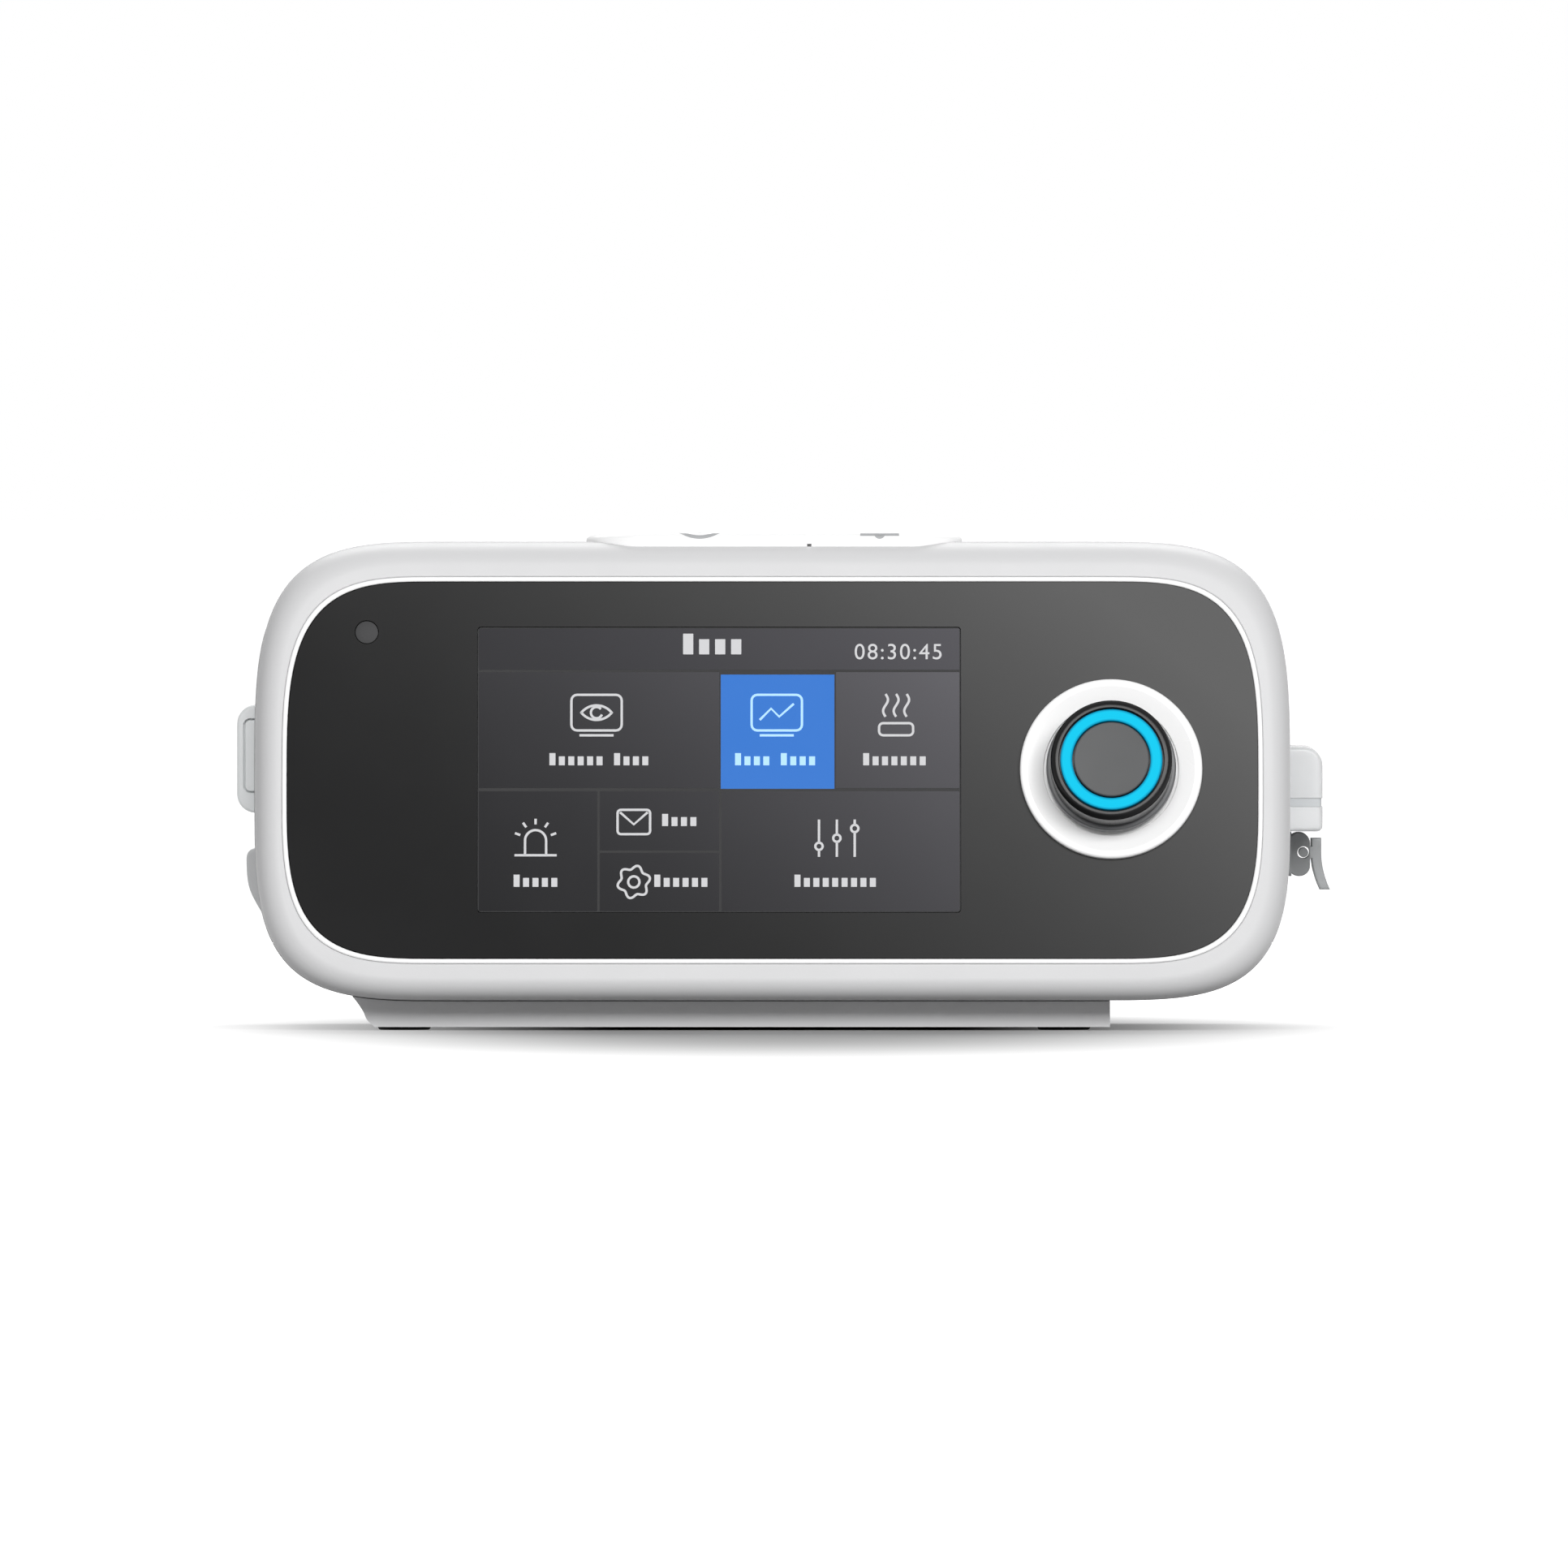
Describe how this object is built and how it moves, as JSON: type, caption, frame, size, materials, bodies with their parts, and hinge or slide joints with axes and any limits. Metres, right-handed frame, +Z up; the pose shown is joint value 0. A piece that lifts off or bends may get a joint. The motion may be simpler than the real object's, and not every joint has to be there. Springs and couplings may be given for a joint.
{
  "type": "cpap machine",
  "caption": "Bedside breathing machine with a colour display, a turn and push control knob, keys on top, a hinged filter door and a slide-out heated water tank.",
  "frame": {"origin": "on the floor plane under the middle of the whole part's box, hose port, knob, tank handle and door pull included", "axes": "+X to the machine's right as seen from the front (the water tank's side), +Y to the rear (the hose port points that way), +Z up; the display faces -Y"},
  "size_m": [0.25, 0.187, 0.1134],
  "materials": {
    "white_plastic": "fine texture",
    "bright_white": "satin",
    "panel_black": "gloss",
    "display_glass": "gloss",
    "sensor_grey": "satin",
    "lcd_body": "matt",
    "knob_dark_grey": "satin",
    "knob_black": "satin",
    "knob_light": "lit, translucent",
    "knob_grey": "satin",
    "base_grey": "matt",
    "duct_grey": "matt",
    "black_plastic": "matt",
    "board_green": "satin",
    "pull_blue_grey": "satin",
    "flap_grey": "matt",
    "filter_foam": "open foam",
    "black_rubber": "matt",
    "seal_rubber": "matt",
    "clear_plastic": "clear, slightly frosted",
    "latch_plastic": "translucent grey",
    "steel": "brushed"
  },
  "bodies": {
    "housing": {"upper_shell": "white_plastic", "front_bezel": "white_plastic", "lower_shell": "white_plastic", "base_plinth": "base_grey", "knob_collar": "bright_white", "rear_panel": "base_grey", "front_chassis": "duct_grey", "panel_trim": "bright_white", "front_panel": "panel_black", "tank_bay": "duct_grey", "hose_port": "base_grey", "blower_cover": "black_plastic", "blower_base": "black_plastic", "blower_motor": "steel", "power_socket": "black_plastic", "hose_duct": "duct_grey", "blower_mount": "black_rubber", "encoder_body": "black_plastic", "tank_dock": "duct_grey", "filter_frame": "base_grey", "inlet_duct": "duct_grey", "base_screw_1": "steel", "base_screw_2": "steel", "base_screw_3": "steel", "base_screw_4": "steel", "sensor_lens": "sensor_grey", "foot_front_left": "black_rubber", "foot_rear_left": "black_rubber", "foot_front_right": "black_rubber", "foot_rear_right": "black_rubber", "door_hinge_pin": "steel", "outlet_duct": "duct_grey", "display_window": "display_glass", "lcd_module": "lcd_body", "main_board": "board_green", "air_filter": "filter_foam", "heater_plate": "steel", "power_button_dome": "black_rubber", "mute_button_dome": "black_rubber", "accessory_socket": "black_plastic", "button_board": "board_green"},
    "plunger": {"encoder_shaft": "steel"},
    "knob": {"knob_skirt": "knob_dark_grey", "knob_grip": "knob_black", "knob_light_ring": "knob_light", "knob_cap": "knob_grey"},
    "power_key": {"power_button": "bright_white"},
    "mute_key": {"mute_button": "bright_white"},
    "door": {"filter_door": "white_plastic", "door_pull": "pull_blue_grey"},
    "flap": {"port_flap": "flap_grey"},
    "tank": {"water_tub": "clear_plastic", "lid_seal": "seal_rubber", "tank_lid": "clear_plastic", "tank_base_plate": "steel", "latch_bracket": "latch_plastic", "latch_pin": "steel"},
    "lever": {"latch_lever": "latch_plastic"},
    "fan": {"impeller": "base_grey"}
  },
  "joints": [
    {"name": "knob_push", "type": "slide", "parent": "housing", "child": "plunger", "axis": [0, 0.9816, -0.1908], "range_m": [0, 0.001], "stiffness_N_per_m": 800, "springref_m": -0.004},
    {"name": "knob_turn", "type": "hinge", "parent": "plunger", "child": "knob", "pos_m": [0.0745, -0.07847, 0.0595], "axis": [0, -0.9816, 0.1908], "continuous": true},
    {"name": "power_button_press", "type": "slide", "parent": "housing", "child": "power_key", "axis": [0, 0, -1], "range_m": [0, 0.0007], "stiffness_N_per_m": 400, "springref_m": -0.0035, "deforming": ["power_button_dome"]},
    {"name": "mute_button_press", "type": "slide", "parent": "housing", "child": "mute_key", "axis": [0, 0, -1], "range_m": [0, 0.0007], "stiffness_N_per_m": 400, "springref_m": -0.0035, "deforming": ["mute_button_dome"]},
    {"name": "filter_door_swing", "type": "hinge", "parent": "housing", "child": "door", "pos_m": [-0.1185, 0.02451, 0.058], "axis": [0, 0, -1], "range_deg": [0, 95]},
    {"name": "port_flap_swing", "type": "hinge", "parent": "housing", "child": "flap", "pos_m": [-0.1212, 0.05482, 0.03235], "axis": [0, 0, -1], "range_deg": [0, 100], "stiffness_Nm_per_rad": 0.01, "springref_deg": -5.73},
    {"name": "tank_slide", "type": "slide", "parent": "housing", "child": "tank", "axis": [1, 0, 0], "range_m": [0, 0.105]},
    {"name": "latch_swing", "type": "hinge", "parent": "tank", "child": "lever", "pos_m": [0.1189, 0.00152, 0.04], "axis": [0, -1, 0], "range_deg": [0, 22], "stiffness_Nm_per_rad": 0.01, "springref_deg": -28.65},
    {"name": "impeller_spin", "type": "hinge", "parent": "housing", "child": "fan", "pos_m": [-0.0527, -0.00848, 0.027], "axis": [0, 0, 1], "continuous": true}
  ]
}
